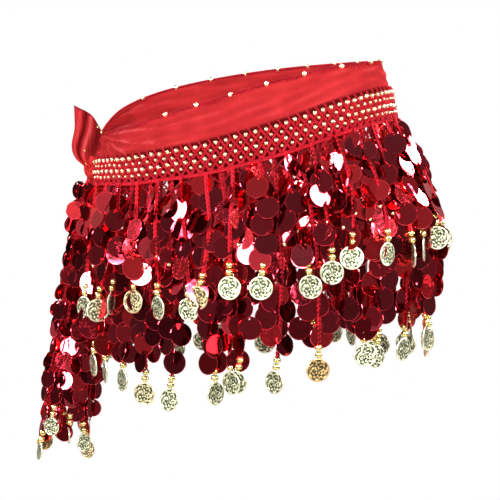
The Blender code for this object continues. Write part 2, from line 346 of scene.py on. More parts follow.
# Tail of strands round the hanging end
TAIL_TOP = 20.0
TAIL_STRANDS = 16
TAIL_REACH = 8.6
TAIL_LENGTH = 279.0
TAIL_STAGGER = 4.5
TAIL_MARGIN = 24
TAIL_COIN_MARGIN = 36
TAIL_SPREAD_OUT = 13.0
TAIL_SPREAD_ALONG = 4.0
TAIL_SPREAD_DROP = 130.0
TAIL_DISC_SHARE = 0.8
TAIL_FILL = 8
TAIL_FILL_SHORTER = 38.0
TAIL_FILL_STAGGER = 12.0
TAIL_FILL_START = 125.0
TAIL_FILL_MARGIN = 14


# Surface of the hips


def between(rows, value, column):
    """A smooth curve through one column of a table whose first column rises."""
    table = np.asarray(rows, float)
    places, heights = table[:, 0], table[:, column]
    value = np.clip(value, places[0], places[-1])
    last = len(rows) - 1
    start = np.clip(np.searchsorted(places, value, side="left") - 1, 0, last - 1)
    end = start + 1
    before = np.maximum(start - 1, 0)
    after = np.minimum(end + 1, last)
    span = places[end] - places[start]
    share = (value - places[start]) / span
    leave = (heights[end] - heights[before]) / (places[end] - places[before]) * span
    arrive = (heights[after] - heights[start]) / (places[after] - places[start]) * span
    change = heights[end] - heights[start]
    cubic = leave + arrive - 2 * change
    square = 3 * change - 2 * leave - arrive
    return heights[start] + share * (leave + share * (square + share * cubic))


def stack(*parts):
    """Numbers or arrays brought to one shape and joined along a last axis."""
    return np.stack(np.broadcast_arrays(*parts), axis=-1)


def steps_of(count):
    """Equal steps from 0 to 1."""
    return np.linspace(0, 1, count)


def unit(vectors):
    return vectors / np.linalg.norm(vectors, axis=-1, keepdims=True)


def blend(start, end, share):
    """Rows of values that go from each start to each end as the share goes from 0 to 1."""
    return start[:, None] * (1 - share) + end[:, None] * share


def yoke_height(angle):
    return between(COURSE, angle, YOKE_HEIGHT)


def band_height(angle):
    return between(COURSE, angle, BAND_HEIGHT)


def outward(angle):
    turn = np.radians(np.asarray(angle, float))
    return unit(stack(np.cos(turn) / RING_X, np.sin(turn) / RING_Y, 0.0))


def along(angle):
    return np.cross(UP, outward(angle))


def ring_point(angle, drop, out):
    """A point of the worn surface, moved out from it level with the ground."""
    angle, drop, out = (np.asarray(part, float) for part in np.broadcast_arrays(angle, drop, out))
    turn = np.radians(angle)
    lean = math.radians(LEAN_ANGLE)
    rise = between(COURSE, angle, RISE) - drop
    place = stack(RING_X * np.cos(turn), RING_Y * np.sin(turn), rise)
    way = np.array((math.cos(lean), math.sin(lean), 0.0))
    place = place + way * between(FORM, drop, LEAN)[..., None]
    return place + outward(angle) * (out + between(FORM, drop, SPREAD))[..., None]


def knot_place(out, sideways, up):
    """A point given by its distances from the knot's centre."""
    centre = ring_point(KNOT_ANGLE, KNOT_DROP, KNOT_OUT)
    out, sideways, up = (np.asarray(part, float)[..., None] for part in (out, sideways, up))
    return centre + outward(KNOT_ANGLE) * out + along(KNOT_ANGLE) * sideways + UP * up


# Meshes


def add_object(name, data):
    obj = bpy.data.objects.new(name, data)
    bpy.context.scene.collection.objects.link(obj)
    return obj


class Shape:
    """Points and faces of one joined mesh, each point with a tint and own coordinates. On crepe and yarn
    the tint paints light and shade; on gold, coins and sequins it sets their tone.
    """

    def __init__(self):
        self.points, self.faces, self.tints, self.owns = [], [], [], []
        self.count = 0

    def add(self, points, faces, tint=0.5, own=None):
        points = np.asarray(points, float).reshape(-1, 3)
        self.points.append(points)
        self.faces += [part + self.count for part in faces]
        self.tints.append(np.broadcast_to(np.asarray(tint, float), len(points)))
        self.owns.append(np.zeros((len(points), 3)) if own is None else own.reshape(-1, 3))
        self.count += len(points)

    def build(self, name, finish, smooth=True):
        data = bpy.data.meshes.new(name)
        points = np.concatenate(self.points) * MM
        corners = np.concatenate([part.ravel() for part in self.faces])
        sizes = np.concatenate([np.full(len(part), part.shape[1]) for part in self.faces])
        starts = np.concatenate(([0], np.cumsum(sizes)[:-1]))
        data.vertices.add(len(points))
        data.vertices.foreach_set("co", points.astype(np.float32).ravel())
        data.loops.add(len(corners))
        data.loops.foreach_set("vertex_index", corners.astype(np.int32))
        data.polygons.add(len(sizes))
        data.polygons.foreach_set("loop_start", starts.astype(np.int32))
        data.polygons.foreach_set("use_smooth", np.full(len(sizes), smooth))
        tint = data.attributes.new("tint", "FLOAT", "POINT")
        tint.data.foreach_set("value", np.concatenate(self.tints).astype(np.float32))
        own = data.attributes.new("own", "FLOAT_VECTOR", "POINT")
        own.data.foreach_set("vector", np.concatenate(self.owns).astype(np.float32).ravel())
        data.update(calc_edges=True)
        data.materials.append(finish)
        obj = add_object(name, data)
        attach(obj, "root")
        return obj


def grid_faces(rows, columns, closed=False):
    """Quads over a grid of points. closed joins the last column to the first."""
    index = np.arange(rows * columns).reshape(rows, columns)
    if closed:
        index = np.concatenate((index, index[:, :1]), axis=1)
    corners = (index[:-1, :-1], index[:-1, 1:], index[1:, 1:], index[1:, :-1])
    return np.stack(corners, axis=-1).reshape(-1, 4)


def turns_of(count):
    """Equal steps round a circle, in radians."""
    return math.tau * np.arange(count) / count


def wheel(sides):
    """Cosines and sines of equal steps round a circle."""
    return np.cos(turns_of(sides)), np.sin(turns_of(sides))


def tubes(lines, facing, radius, sides):
    """Round tubes along a batch of lines of equal point counts."""
    way = unit(np.gradient(lines, axis=1))
    side = unit(np.cross(way, np.broadcast_to(facing, lines.shape)))
    front = np.cross(side, way)
    cos, sin = wheel(sides)
    hoops = side[:, :, None] * cos[:, None] + front[:, :, None] * sin[:, None]
    radius = np.broadcast_to(radius, lines.shape[:2])[..., None, None]
    batch, steps = lines.shape[:2]
    index = np.arange(batch * steps * sides).reshape(batch, steps, sides)
    turned = np.roll(index, -1, axis=2)
    corners = (index[:, :-1], index[:, 1:], turned[:, 1:], turned[:, :-1])
    walls = np.stack(corners, axis=-1).reshape(-1, 4)
    ends = np.concatenate((index[:, 0], index[:, -1, ::-1]))
    return lines[:, :, None] + radius * hoops, [walls, ends]


def copies(template, faces, centres, axes):
    """A template set at many places. The rows of axes are its sideways, up and facing directions."""
    points = centres[:, None] + np.einsum("kj,mji->mki", template, axes)
    shift = (np.arange(len(centres)) * len(template))[:, None, None]
    return points, [(part[None] + shift).reshape(-1, part.shape[1]) for part in faces]


def revolve(loops):
    """Quads of a ring of loops of equal point counts, first joined to last."""
    count, sides = len(loops), len(loops[0])
    index = np.arange(count * sides).reshape(count, sides)
    after = np.roll(index, -1, axis=0)
    corners = (index, after, np.roll(after, -1, axis=1), np.roll(index, -1, axis=1))
    return np.concatenate(loops), [np.stack(corners, axis=-1).reshape(-1, 4)]


def disc_template(radius, sides):
    """Flat round sequin with a hole near its top edge."""
    cos, sin = wheel(sides)
    rim = stack(cos, sin)
    hole = np.array((0.0, radius - HOLE_MARGIN))
    ray = unit(rim * radius - hole)
    half = DISC_THICKNESS / 2
    outline = (
        (hole + ray * HOLE_RADIUS, -half),
        (hole + ray * HOLE_RADIUS, half),
        (rim * (radius - DISC_BEVEL), half),
        (rim * radius, 0.0),
        (rim * (radius - DISC_BEVEL), -half),
    )
    return revolve([stack(flat[:, 0], flat[:, 1], depth) for flat, depth in outline])


def bead_template(radius, sides=12):
    """Round bead with its hole along the first axis."""
    cos, sin = wheel(sides)
    arc = [(math.cos(turn), math.sin(turn)) for turn in np.radians(range(-50, 51, 20))]
    profile = [(BEAD_HOLE, -BEAD_HALF_LENGTH), *arc, (BEAD_HOLE, BEAD_HALF_LENGTH)]
    return revolve([stack(at, reach * cos, reach * sin) * radius for reach, at in profile])


def coin_relief(share, turn):
    """Height of the coin's face over its middle plane, with a boss, scrolls and a raised rim."""
    swell = math.sin(math.pi * min(share / FIELD_REACH, 1.0))
    scroll = SCROLL_HEIGHT * swell * np.sin(SCROLLS * turn + SCROLL_TWIST * share)
    boss = BOSS_HEIGHT * max(0.0, 1 - share / BOSS_REACH)
    rim = RIM_HEIGHT if RIM_INSIDE < share < RIM_OUTSIDE else 0.0
    edge = COIN_THICKNESS / 2 if share < 1 else 0.0
    return scroll + boss + rim + edge


def eyelet_template(radius):
    """Ring that stands on the coin's edge."""
    cos, sin = wheel(EYELET_SIDES)
    loops = []
    for across, high in zip(*wheel(WIRE_SIDES)):
        reach = EYELET_RADIUS + EYELET_WIRE * across
        loops.append(stack(reach * cos, reach * sin + radius + EYELET_LIFT, EYELET_WIRE * high))
    return revolve(loops)


def coin_template(radius, sides=32):
    """Round coin with relief on both faces and its own eyelet."""
    cos, sin = wheel(sides)
    turn = np.arctan2(sin, cos)
    points, faces = [], []
    for facing, rings in ((1, FACE_RINGS), (-1, BACK_RINGS)):
        loops = []
        for share in rings:
            reach = share * radius
            loops.append(stack(reach * cos, reach * sin, facing * coin_relief(share, turn)))
        quads = grid_faces(len(rings), sides, closed=True)
        quads = quads if facing < 0 else quads[:, ::-1]
        faces.append(quads + sum(len(part) for part in points))
        points.append(np.concatenate(loops))
    eyelet, eyelet_faces = eyelet_template(radius)
    faces.append(eyelet_faces[0] + sum(len(part) for part in points))
    points.append(eyelet)
    return np.concatenate(points), faces


def add_wall(obj):
    """Give a sheet of crepe the thickness of the cloth."""
    wall = obj.modifiers.new("wall", "SOLIDIFY")
    wall.thickness = CLOTH_THICKNESS * MM
    wall.offset = 0


# Materials

# Colours
CREPE_DEEP = (0.70, 0.034, 0.040)
CREPE_BRIGHT = (0.86, 0.048, 0.054)
CREPE_HIGHLIGHT = (0.92, 0.17, 0.18)
YARN_DEEP = (0.80, 0.012, 0.030)
YARN_BRIGHT = (0.96, 0.028, 0.054)
ROSE_GOLD = (0.84, 0.40, 0.24)
CREAM_GOLD = (0.94, 0.76, 0.46)
YELLOW_GOLD = (0.84, 0.70, 0.24)
COIN_RECESS = (0.030, 0.044, 0.016)
COIN_FIELD = (0.34, 0.35, 0.17)
COIN_RAISED = (0.94, 0.92, 0.66)
COIN_COPPER = (1.0, 0.55, 0.24)
WINE_DARK = (0.20, 0.008, 0.016)
WINE = (0.42, 0.014, 0.026)
WINE_BRIGHT = (0.85, 0.030, 0.036)
FLOOR_GREY = (0.84, 0.84, 0.84)
FLOOR_PALE = (0.90, 0.90, 0.90)


def nodes_of(name):
    made = bpy.data.materials.new(name)
    made.use_nodes = True
    tree = made.node_tree
    return made, tree, tree.nodes["Principled BSDF"]


def settings(shader, **values):
    for key, value in values.items():
        shader.inputs[key.replace("_", " ")].default_value = value


def node(tree, kind, **values):
    """A node with its settings. Each input is given a value, or the socket that feeds it."""
    made = tree.nodes.new(kind)
    for key, value in values.items():
        if key == "inputs":
            for place, given in value.items():
                if isinstance(given, bpy.types.NodeSocket):
                    tree.links.new(given, made.inputs[place])
                else:
                    made.inputs[place].default_value = given
        else:
            setattr(made, key, value)
    return made


def math_node(tree, operation, *given):
    return node(tree, "ShaderNodeMath", operation=operation, inputs=dict(enumerate(given))).outputs[0]


def times(tree, first, second):
    return math_node(tree, "MULTIPLY", first, second)


def ramp(tree, factor, *stops):
    """A colour ramp from stops of position and colour."""
    made = node(tree, "ShaderNodeValToRGB", inputs={0: factor})
    elements = made.color_ramp.elements
    while len(elements) < len(stops):
        elements.new(0.5)
    for element, (place, colour) in zip(elements, stops):
        element.position = place
        element.color = (*colour, 1.0)
    return made.outputs[0]


def mapped(tree, factor, from_low, from_high, low, high):
    """The factor taken from one range to another."""
    given = {0: factor, 1: from_low, 2: from_high, 3: low, 4: high}
    return node(tree, "ShaderNodeMapRange", inputs=given).outputs[0]


def span(tree, factor, low, high):
    """The factor from 0 to 1 taken to a range."""
    return mapped(tree, factor, 0.0, 1.0, low, high)


def noise(tree, place, scale, detail=2.0, rough=0.5, distortion=0.0):
    given = {"Vector": place, "Scale": scale, "Detail": detail, "Roughness": rough}
    given["Distortion"] = distortion
    return node(tree, "ShaderNodeTexNoise", inputs=given).outputs[0]


def stretched(tree, place, scale):
    return node(tree, "ShaderNodeMapping", inputs={"Vector": place, "Scale": scale}).outputs[0]


def bump(tree, height, strength, distance, normal=None):
    given = {"Strength": strength, "Distance": distance, "Height": height}
    if normal is not None:
        given["Normal"] = normal
    return node(tree, "ShaderNodeBump", inputs=given).outputs[0]


def own_place(tree):
    """A piece's own coordinates, given point by point."""
    return node(tree, "ShaderNodeAttribute", attribute_name="own").outputs["Vector"]


def own_tint(tree):
    return node(tree, "ShaderNodeAttribute", attribute_name="tint").outputs["Fac"]


def own_reach(tree):
    """Distance from the middle of a disc, 1 at its edge."""
    given = {0: own_place(tree)}
    return node(tree, "ShaderNodeVectorMath", operation="LENGTH", inputs=given).outputs["Value"]


def object_place(tree):
    return node(tree, "ShaderNodeTexCoord").outputs["Object"]


def multiply(tree, colour, factor):
    """A colour darkened or lightened by a factor."""
    return node(tree, "ShaderNodeVectorMath", operation="SCALE", inputs={0: colour, 3: factor}).outputs[0]


def surface(tree, shader, colour, roughness, normal):
    tree.links.new(colour, shader.inputs["Base Color"])
    tree.links.new(roughness, shader.inputs["Roughness"])
    tree.links.new(normal, shader.inputs["Normal"])


def crepe_material():
    """Thin red crepe with a fine crinkle, with painted shade towards a tint of 1 and a painted highlight
    below 0.
    """
    made, tree, shader = nodes_of("red_crepe")
    place, tint = object_place(tree), own_tint(tree)
    cloudy = noise(tree, place, scale=45.0, detail=3.0)
    crinkle = noise(tree, place, scale=700.0, detail=3.0, rough=0.6, distortion=0.6)
    thread = noise(tree, stretched(tree, own_place(tree), (0.25, 2.2, 1.0)), scale=1.0)
    colour = ramp(tree, cloudy, (0.3, CREPE_DEEP), (0.7, CREPE_BRIGHT))
    # Painted shade: darker in the crinkle's low spots and lighter on its high spots, and darker as the
    # tint rises towards 1
    shade = times(tree, span(tree, crinkle, 0.86, 1.12), span(tree, tint, 1.0, 0.22))
    # Below a tint of 0 the colour is mixed towards a pale red as a painted highlight
    pale = mapped(tree, tint, -0.5, 0.0, 1.0, 0.0)
    given = {0: pale, 6: multiply(tree, colour, shade), 7: (*CREPE_HIGHLIGHT, 1.0)}
    colour = node(tree, "ShaderNodeMix", data_type="RGBA", inputs=given).outputs[2]
    woven = bump(tree, thread, strength=0.25, distance=0.0004)
    surface(tree, shader, colour, span(tree, crinkle, 0.6, 0.8),
            bump(tree, crinkle, strength=0.35, distance=0.0005, normal=woven))
    settings(shader, Sheen_Weight=0.04, Sheen_Roughness=0.5, Sheen_Tint=(1.0, 0.1, 0.1, 1.0))
    settings(shader, Specular_IOR_Level=0.0)
    return made


def yarn_material():
    """Bright red crochet yarn with fine fibres, with painted light and shade from its tint, brighter as
    the tint rises.
    """
    made, tree, shader = nodes_of("red_yarn")
    place = object_place(tree)
    patch = noise(tree, place, scale=120.0)
    fibre = noise(tree, place, scale=1500.0, detail=3.0, rough=0.65, distortion=1.5)
    colour = ramp(tree, patch, (0.3, YARN_DEEP), (0.7, YARN_BRIGHT))
    # Painted shade: darker in the fibres' low spots, and light and shade painted by the tint
    shade = times(tree, span(tree, fibre, 0.7, 1.25), span(tree, own_tint(tree), 0.3, 1.5))
    surface(tree, shader, multiply(tree, colour, shade), span(tree, fibre, 0.65, 0.9),
            bump(tree, fibre, strength=0.6, distance=0.0006))
    settings(shader, Sheen_Weight=0.10, Sheen_Roughness=0.35, Sheen_Tint=(1.0, 0.18, 0.22, 1.0))
    settings(shader, Specular_IOR_Level=0.06)
    return made


def gold_material():
    """Gold beads, from dull rose to polished yellow with their tint."""
    made, tree, shader = nodes_of("gold_beads")
    place, tint = object_place(tree), own_tint(tree)
    patch = noise(tree, place, scale=300.0)
    scratch = noise(tree, place, scale=1800.0, detail=3.0, rough=0.6)
    tone = math_node(tree, "ADD", span(tree, patch, -0.15, 0.15), tint)
    colour = ramp(tree, tone, (0.0, ROSE_GOLD), (0.5, CREAM_GOLD), (0.9, YELLOW_GOLD))
    rough = times(tree, span(tree, scratch, 0.28, 0.40), span(tree, tint, 1.1, 0.5))
    surface(tree, shader, colour, rough, bump(tree, scratch, strength=0.1, distance=0.0003))
    settings(shader, Metallic=0.85)
    return made


def coin_material():
    """Pale gold coin with a stamped pattern and dark olive recesses, some coins copper."""
    made, tree, shader = nodes_of("gold_coins")
    own, reach = own_place(tree), own_reach(tree)
    parts = node(tree, "ShaderNodeSeparateXYZ", inputs={0: own})
    turn = math_node(tree, "ARCTAN2", parts.outputs[1], parts.outputs[0])
    petals = math_node(tree, "SINE", times(tree, turn, 7.0))
    rings = math_node(tree, "SINE", times(tree, reach, 17.0))
    lattice = times(tree, times(tree, petals, rings), 0.13)
    mottle = noise(tree, own, scale=4.6, rough=0.6, distortion=0.8)
    rim = times(tree, math_node(tree, "GREATER_THAN", reach, RIM_INSIDE), 0.9)
    relief = math_node(tree, "MAXIMUM", math_node(tree, "ADD", lattice, mottle), rim)
    colour = ramp(tree, relief, (0.46, COIN_RECESS), (0.54, COIN_FIELD), (0.64, COIN_RAISED))
    warm = ramp(tree, own_tint(tree), (0.78, (1.0, 1.0, 1.0)), (1.0, COIN_COPPER))
    given = {0: colour, 1: warm}
    colour = node(tree, "ShaderNodeVectorMath", operation="MULTIPLY", inputs=given).outputs[0]
    surface(tree, shader, colour, span(tree, relief, 0.5, 0.22),
            bump(tree, relief, strength=0.8, distance=0.0008))
    settings(shader, Metallic=0.5)
    return made


def sequin_material():
    """Glossy wine red plastic film with a painted highlight along its rim, its red different from disc to
    disc.
    """
    made, tree, shader = nodes_of("wine_sequins")
    place = object_place(tree)
    ripple = noise(tree, place, scale=60.0)
    smear = noise(tree, place, scale=400.0, detail=3.0)
    # Painted highlight: a ring near the edge of each face is made up to 2.6 times brighter
    rim = mapped(tree, own_reach(tree), 0.9, 0.96, 1.0, 2.6)
    colour = ramp(tree, own_tint(tree), (0.0, WINE_DARK), (0.55, WINE), (1.0, WINE_BRIGHT))
    colour = multiply(tree, colour, times(tree, span(tree, smear, 0.85, 1.15), rim))
    surface(tree, shader, colour, span(tree, smear, 0.03, 0.10),
            bump(tree, ripple, strength=0.12, distance=0.002))
    settings(shader, Metallic=0.95, Coat_Weight=0.36, Coat_Roughness=0.03, Coat_IOR=1.5)
    settings(shader, Specular_Tint=(0.9, 0.2, 0.25, 1.0))
    return made


def floor_material():
    made, tree, shader = nodes_of("pale_floor")
    mottle = noise(tree, object_place(tree), scale=6.0, detail=3.0)
    colour = ramp(tree, mottle, (0.3, FLOOR_GREY), (0.7, FLOOR_PALE))
    tree.links.new(colour, shader.inputs["Base Color"])
    settings(shader, Roughness=0.8)
    return made


crepe = crepe_material()
yarn = yarn_material()
gold = gold_material()
coin_gold = coin_material()
wine = sequin_material()


# Yarn work


def plait(shape, line, facing, width, depth, radius, pitch, sides=5, tint=0.5, contrast=0.45):
    """Three strands crossing over each other along a line, each with painted light on one side of its
    sway and painted shade on the other.
    """
    line = np.asarray(line, float)
    steps = np.linalg.norm(np.diff(line, axis=0), axis=1)
    walked = np.concatenate(([0.0], np.cumsum(steps)))
    facing = np.broadcast_to(facing, line.shape)
    way = unit(np.gradient(line, axis=0))
    side = unit(np.cross(way, facing))
    lines, tints = [], []
    for strand in range(3):
        turn = math.tau * (walked / pitch + strand / 3)
        sway = side * (width * np.sin(turn))[:, None]
        depths = facing * (depth * np.sin(2 * turn))[:, None]
        lines.append(line + sway + depths)
        tints.append(tint + contrast * np.cos(turn))
    tints = np.repeat(np.concatenate(tints), sides)
    shape.add(*tubes(np.stack(lines), facing, radius, sides), tint=tints)


def twist(shape, lines, facing, offset, radius, turns, sides=5, tint=0.5):
    """Two plies turned round each other along each of a batch of lines."""
    way = unit(np.gradient(lines, axis=1))
    facing = np.broadcast_to(facing, lines.shape)
    side = unit(np.cross(way, facing))
    front = np.cross(side, way)
    share = steps_of(lines.shape[1])
    for ply in range(2):
        turn = math.tau * (turns * share + ply / 2)
        wound = lines + offset * (side * np.cos(turn)[:, None] + front * np.sin(turn)[:, None])
        shape.add(*tubes(wound, facing, radius, sides), tint=tint)


def walked_angles(start, end, spacing, drop_at):
    """Angles at equal distances along a course round the ring."""
    fine = np.linspace(start, end, 3000)
    points = ring_point(fine, drop_at(fine), 0.0)
    walked = np.concatenate(([0.0], np.cumsum(np.linalg.norm(np.diff(points, axis=0), axis=1))))
    return np.interp(np.arange(0, walked[-1], spacing), walked, fine)


# Yoke


def waves(seed, count, across, lengthwise):
    """Soft uneven waves over a distance along and a height, the same on each run."""
    draw = np.random.default_rng(seed)
    pitch_high = draw.uniform(*across, count)
    pitch_along = draw.uniform(*lengthwise, count) * draw.choice((-1, 1), count)
    phase = draw.uniform(0, math.tau, count)

    def value(distance, height):
        total = 0.0
        for high, long, start in zip(pitch_high, pitch_along, phase):
            total = total + np.sin(math.tau * (height / high + distance / long) + start)
        return total / math.sqrt(count)

    return value


def add_yoke():
    """Gathered cloth round the hips, with pleats that fan out of the knot at both ends."""
    angle = np.linspace(FIRST_ANGLE, LAST_ANGLE, YOKE_COLUMNS)[:, None]
    height = yoke_height(angle)
    band = band_height(angle)
    upper = steps_of(YOKE_TOP_ROWS)[None, :]
    lower = steps_of(YOKE_BAND_ROWS + 1)[None, 1:]
    drop = np.concatenate((-height * (1 - upper), band * lower), axis=1)
    share = np.concatenate((upper + 0 * angle, 1 + lower + 0 * angle), axis=1)
    above_band = np.minimum(share, 1.0)
    distance = np.radians(angle) * MEAN_RADIUS
    away = np.minimum(angle - FIRST_ANGLE, LAST_ANGLE - angle)
    near = np.maximum(0.0, 1.0 - away / FOLD_REACH) ** FOLD_FADE
    fold = FOLD_SLOPE * height * near * np.sin(math.tau * FOLD_WAVES * above_band)
    creases = waves(*CREASES)(distance, drop)
    fine = waves(*FINE_CREASES)(distance, drop)
    billow = waves(*BILLOWS)(distance, drop)
    reach = np.radians(away) * MEAN_RADIUS
    fan = np.arctan2(above_band * height + FAN_ABOVE, reach + FAN_BESIDE) / (math.pi / 2)
    wave = np.sin(math.pi * (FAN_FOLDS * fan + FAN_PHASE + FAN_WANDER * creases))
    pleats = 1 - np.abs(wave) ** PLEAT_POWER
    fanned = near ** FAN_FADE * np.clip(reach / FAN_START, 0.0, 1.0)
    soft = CREASE_DEPTH * creases + FINE_DEPTH * fine + BILLOW_DEPTH * billow
    soft = soft + FAN_DEPTH * fanned * (pleats - PLEAT_MIDDLE)
    out = CLOTH_MIDDLE + fold + np.clip(FREE_SHARE - share, 0.0, 1.0) * soft
    # Painted shadow on the cloth under the bead band
    under = np.clip((drop - BAND_SHADOW_DROP) / BAND_SHADOW_DROP, 0.0, 1.0)
    # Painted highlights along the pleat ridges near the knot, and painted light and shade along the
    # creases
    light = PLEAT_LIGHT * fanned * pleats ** LIGHT_POWER + CREASE_LIGHT * creases
    tint = under + (1 - under) * (YOKE_BASE_SHADE + FAN_SHADE * fanned - light)
    own = stack(distance, drop, 0.0)
    quads = grid_faces(YOKE_COLUMNS, YOKE_TOP_ROWS + YOKE_BAND_ROWS)[:, ::-1]
    shape = Shape()
    shape.add(ring_point(angle, drop, out), [quads], tint=tint.ravel(), own=own)
    obj = shape.build("yoke", crepe)
    add_wall(obj)
    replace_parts(obj, "yoke_cloth")
    return obj


def top_drop(angle):
    """Drop of the edging cord, just above the cloth's top edge."""
    return -yoke_height(angle) - EDGING_LIFT


def bead_axes(angle):
    """Directions of beads strung along the ring."""
    side = along(angle)
    return np.stack((side, np.broadcast_to(UP, side.shape), outward(angle)), axis=1)


def add_edging():
    """Crocheted cord along the top edge, its stitches over the cloth, and beads on it."""
    angle = walked_angles(FIRST_ANGLE, LAST_ANGLE, EDGING_STEP, top_drop)
    shape = Shape()
    line = ring_point(angle, top_drop(angle), CLOTH_MIDDLE)
    plait(shape, line, outward(angle), width=0.8, depth=0.45, radius=0.62, pitch=6.0, tint=0.35)
    ends = FIRST_ANGLE + STITCH_MARGIN, LAST_ANGLE - STITCH_MARGIN
    stitch = walked_angles(*ends, STITCH_SPACING, top_drop)[:, None]
    reach = np.linspace(-1.0, 1.0, 8)[None, :]
    slant = stitch + STITCH_SLANT * reach
    drop = top_drop(stitch) + STITCH_DROP + STITCH_REACH * reach
    lines = ring_point(slant, drop, CLOTH_MIDDLE + STITCH_OUT * np.cos(STITCH_BEND * reach))
    shape.add(*tubes(lines, outward(slant), STITCH_RADIUS, sides=5), tint=0.4)
    obj = shape.build("edging", yarn)
    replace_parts(obj, "yoke_edging")
    beads = Shape()
    spots = walked_angles(EDGE_BEAD_START, EDGE_BEAD_END, EDGE_BEAD_SPACING, top_drop)
    centres = ring_point(spots, top_drop(spots) - EDGE_BEAD_LIFT, CLOTH_MIDDLE + EDGE_BEAD_OUT)
    beads.add(*copies(*bead_template(EDGE_BEAD_RADIUS), centres, bead_axes(spots)))
    bead_obj = beads.build("edging_beads", gold)
    return [obj, bead_obj]


# Bead band


def band_angle(column):
    share = (np.asarray(column, float) + BAND_START) / BAND_COLUMNS
    return FIRST_ANGLE + (LAST_ANGLE - FIRST_ANGLE) * share


def band_drop(angle, row):
    share = BAND_MARGIN + BAND_PITCH * row
    return band_height(angle) * share


def foot_drop(angle):
    """Drop of the cord that closes the band's lower edge."""
    return band_height(angle) + FOOT_OVERLAP


def links(shape, start, end, turns=1.0, radius=1.1, offset=0.7, steps=5, bow=0.6, tint=0.48):
    """Twisted links of the net from one row of knots to the next, given as angles and drops."""
    share = steps_of(steps)
    angle = blend(start[0], end[0], share)
    drop = blend(start[1], end[1], share)
    out = NET_OUT + bow * np.sin(math.pi * share)
    lines = ring_point(angle, drop, out)
    twist(shape, lines, outward(angle), offset, radius, turns, sides=4, tint=tint)


def cross_links(net, upper, lower, kept, moved):
    """Links that slant the other way, from the kept knots above to the moved ones below."""
    links(net, (upper[0][kept], upper[1][kept]), (lower[0][moved], lower[1][moved]))


def add_band_net():
    """Net of thick yarn, with a knot for each bead, from the cloth down to the foot cord."""
    net = Shape()
    columns = np.arange(-1, BAND_COLUMNS)
    knots = []
    for row in range(BEAD_ROWS):
        angle = np.clip(band_angle(columns + 0.5 + 0.5 * (row % 2)), FIRST_ANGLE, LAST_ANGLE)
        knots.append((angle, band_drop(angle, row)))
    first = knots[0][0]
    start = np.maximum(first - FIRST_LINK_SLANT, FIRST_ANGLE), 0 * first + FIRST_LINK_DROP
    links(net, start, knots[0], turns=0.6, radius=0.8, offset=0.55)
    for row, (upper, lower) in enumerate(zip(knots, knots[1:])):
        links(net, upper, lower)
        sides = slice(1, None), slice(None, -1)
        cross_links(net, upper, lower, *(sides[::-1] if row % 2 else sides))
    foot = knots[2][0], band_height(knots[2][0]) - FOOT_OVERLAP
    last = knots[3]
    links(net, last, foot, turns=0.7)
    links(net, (last[0][:-1], last[1][:-1]), (foot[0][1:], foot[1][1:]), turns=0.7)
    angle = walked_angles(FIRST_ANGLE, LAST_ANGLE, FOOT_STEP, foot_drop)
    line = ring_point(angle, foot_drop(angle), NET_OUT)
    plait(net, line, outward(angle), width=1.2, depth=0.6, radius=0.9, pitch=7.5, tint=0.6, contrast=0.3)
    obj = net.build("band_net", yarn)
    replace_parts(obj, "bead_band")
    return obj


def add_band_beads():
    beads = Shape()
    for row in range(BEAD_ROWS):
        sunk = row % 2
        angle = band_angle(np.arange(BAND_COLUMNS) + 0.5 * sunk)
        wobble = rng.normal(0, BEAD_WOBBLE, (len(angle), 3))
        out = BEAD_OUT - SUNK_DEPTH * sunk
        centres = ring_point(angle, band_drop(angle, row) + BEAD_DROP, out) + wobble
        bead = bead_template(BEAD_RADIUS - SUNK_SMALLER * sunk, sides=10)
        tints = rng.uniform(*BEAD_TINTS, len(angle)) - SUNK_DARKER * sunk
        beads.add(*copies(*bead, centres, bead_axes(angle)), tint=np.repeat(tints, len(bead[0])))
    obj = beads.build("band_beads", gold)
    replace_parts(obj, "bead_band")
    return obj


# Fringe


def turned(facing, yaw, lean, roll):
    """Directions of a disc that faces one way, turned aside, leaned back and rolled, in degrees."""
    yaw, lean, roll = (np.radians(part)[..., None] for part in (yaw, lean, roll))
    side = np.cross(UP, facing)
    front = facing * np.cos(yaw) + side * np.sin(yaw)
    side = np.cross(UP, front)
    high = UP * np.cos(lean) - front * np.sin(lean)
    front = np.cross(side, high)
    across = side * np.cos(roll) + high * np.sin(roll)
    high = np.cross(front, across)
    return np.stack((across, high, front), axis=1)


